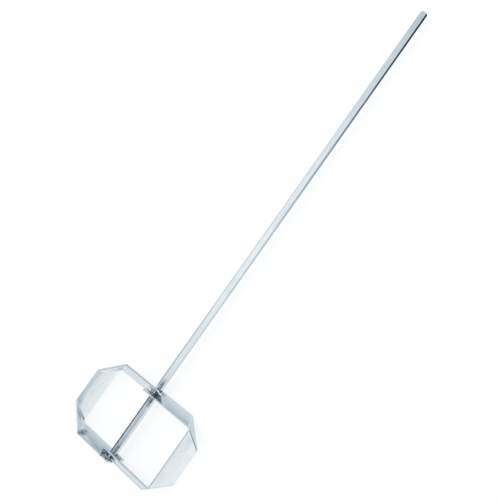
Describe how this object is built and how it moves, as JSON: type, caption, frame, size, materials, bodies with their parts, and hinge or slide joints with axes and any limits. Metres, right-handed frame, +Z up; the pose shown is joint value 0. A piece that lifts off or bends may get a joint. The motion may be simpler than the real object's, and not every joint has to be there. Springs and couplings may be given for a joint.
{
  "type": "mortar mixing paddle",
  "caption": "Hex-shank mixing paddle: a long bar whose end carries two pitched half-frames folded from flat strip, forming an open box-shaped head.",
  "frame": {"origin": "centre of the shank's flat end face, on the shaft's axis", "axes": "+X along the shaft out of the shank's end, +Y across the head along the arms, +Z up when the paddle lies on its face"},
  "size_m": [0.762, 0.2088, 0.0302],
  "materials": {
    "shaft": "bright zinc plating over cold-drawn hexagonal bar",
    "strip": "bright zinc plating over rolled flat strip",
    "pin": "zinc-plated round steel pin",
    "weld": "weld metal, plated over, slightly rough"
  },
  "bodies": {
    "root": {"hex_shaft": "shaft", "right_half_frame": "strip", "left_half_frame": "strip", "upper_cross_pin": "pin", "lower_cross_pin": "pin", "upper_right_outer_weld": "weld", "upper_right_inner_weld": "weld", "upper_left_outer_weld": "weld", "upper_left_inner_weld": "weld", "lower_right_outer_weld": "weld", "lower_right_inner_weld": "weld", "lower_left_outer_weld": "weld", "lower_left_inner_weld": "weld"}
  },
  "joints": []
}
